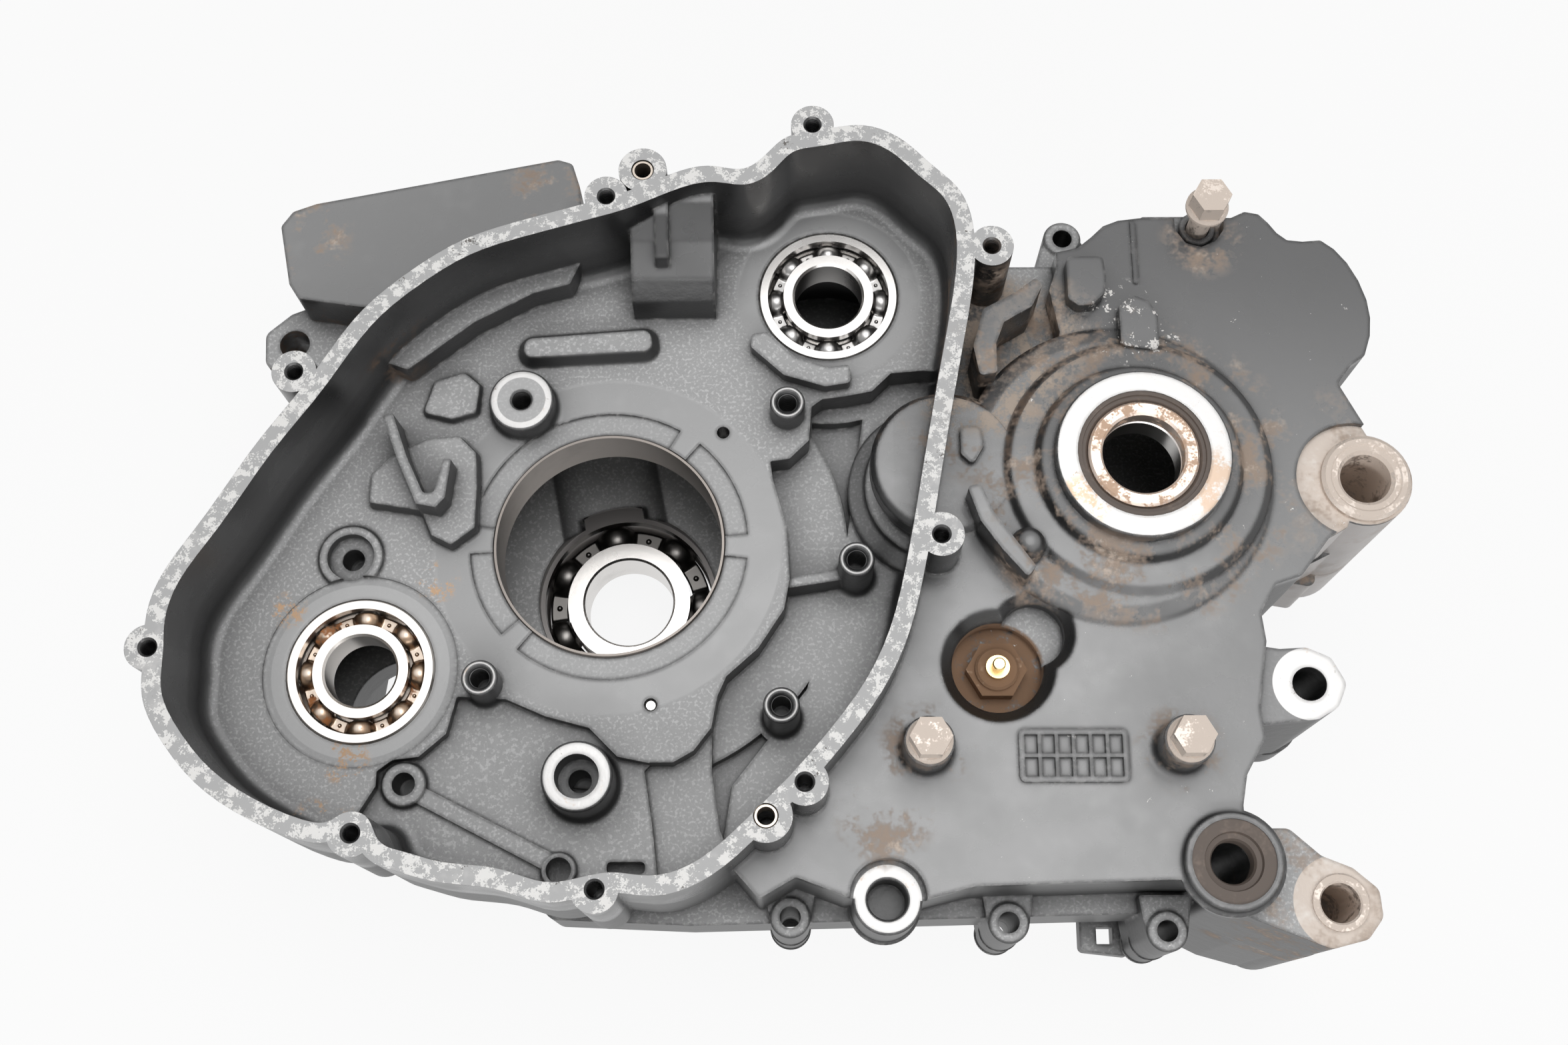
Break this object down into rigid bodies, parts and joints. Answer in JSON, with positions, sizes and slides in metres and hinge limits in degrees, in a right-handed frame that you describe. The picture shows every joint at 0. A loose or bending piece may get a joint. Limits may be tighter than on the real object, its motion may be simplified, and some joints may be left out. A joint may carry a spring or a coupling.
{
  "type": "engine crankcase",
  "caption": "Split engine crankcase with an open side-cover cavity, crank bore, balancer bearings, output seal boss and rear mounting ears.",
  "frame": {"origin": "crankshaft axis at the machined web face of the left casting", "axes": "+Z along the crankshaft towards the left side of the engine, +Y up, +X to the rear"},
  "size_m": [0.4315, 0.2911, 0.174],
  "materials": {
    "case_paint": "semi-gloss black paint over aluminium, bare on machined faces",
    "ground_steel": "ground and polished",
    "bearing_steel": "polished, lightly oiled",
    "cage_steel": "pressed sheet steel",
    "seal_rubber": "dull brown-black",
    "switch_steel": "rusty plated steel",
    "switch_brass": "tarnished",
    "mount_steel": "dull, slightly rusty",
    "bolt_steel": "black oxide, worn"
  },
  "bodies": {
    "case": {"left_crankcase": "case_paint", "right_crankcase": "case_paint", "main_bore_liner": "ground_steel", "front_balancer_outer_race": "bearing_steel", "rear_balancer_outer_race": "bearing_steel", "right_main_outer_race": "bearing_steel", "output_outer_race": "bearing_steel", "output_seal": "seal_rubber", "shift_shaft_seal": "seal_rubber", "neutral_switch_body": "switch_steel", "neutral_switch_terminal": "switch_brass", "upper_mount_bush": "mount_steel", "lower_mount_sleeve": "mount_steel", "case_bolts": "bolt_steel", "long_case_bolt": "bolt_steel", "cover_dowels": "ground_steel", "split_dowels": "ground_steel", "gallery_plugs": "ground_steel"},
    "front_balancer_ring": {"front_balancer_inner_race": "bearing_steel"},
    "front_balancer_train": {"front_balancer_balls": "bearing_steel", "front_balancer_cage": "cage_steel"},
    "rear_balancer_ring": {"rear_balancer_inner_race": "bearing_steel"},
    "rear_balancer_train": {"rear_balancer_balls": "bearing_steel", "rear_balancer_cage": "cage_steel"},
    "right_main_ring": {"right_main_inner_race": "bearing_steel"},
    "right_main_train": {"right_main_balls": "bearing_steel", "right_main_cage": "cage_steel"},
    "output_ring": {"output_inner_race": "bearing_steel", "output_collar": "ground_steel"},
    "output_train": {"output_balls": "bearing_steel", "output_cage": "cage_steel"}
  },
  "joints": [
    {"name": "front_balancer_spin", "type": "hinge", "parent": "case", "child": "front_balancer_ring", "pos_m": [-0.0851, -0.0459, -0.0075], "axis": [0, 0, 1], "continuous": true},
    {"name": "front_balancer_train_spin", "type": "hinge", "parent": "case", "child": "front_balancer_train", "pos_m": [-0.0851, -0.0459, -0.0075], "axis": [0, 0, 1], "continuous": true},
    {"name": "rear_balancer_spin", "type": "hinge", "parent": "case", "child": "rear_balancer_ring", "pos_m": [0.0784, 0.0959, -0.0075], "axis": [0, 0, 1], "continuous": true},
    {"name": "rear_balancer_train_spin", "type": "hinge", "parent": "case", "child": "rear_balancer_train", "pos_m": [0.0784, 0.0959, -0.0075], "axis": [0, 0, 1], "continuous": true},
    {"name": "right_main_spin", "type": "hinge", "parent": "case", "child": "right_main_ring", "pos_m": [0, 0, -0.0895], "axis": [0, 0, 1], "continuous": true},
    {"name": "right_main_train_spin", "type": "hinge", "parent": "case", "child": "right_main_train", "pos_m": [0, 0, -0.0895], "axis": [0, 0, 1], "continuous": true},
    {"name": "output_spin", "type": "hinge", "parent": "case", "child": "output_ring", "pos_m": [0.1838, 0.0202, 0.024], "axis": [0, 0, 1], "continuous": true},
    {"name": "output_train_spin", "type": "hinge", "parent": "case", "child": "output_train", "pos_m": [0.1838, 0.0202, 0.024], "axis": [0, 0, 1], "continuous": true}
  ],
  "couplings": [
    {"joint": "front_balancer_train_spin", "follows": "front_balancer_spin", "ratio": 0.3866},
    {"joint": "rear_balancer_train_spin", "follows": "rear_balancer_spin", "ratio": 0.3866},
    {"joint": "right_main_train_spin", "follows": "right_main_spin", "ratio": 0.378},
    {"joint": "output_train_spin", "follows": "output_spin", "ratio": 0.4104}
  ]
}
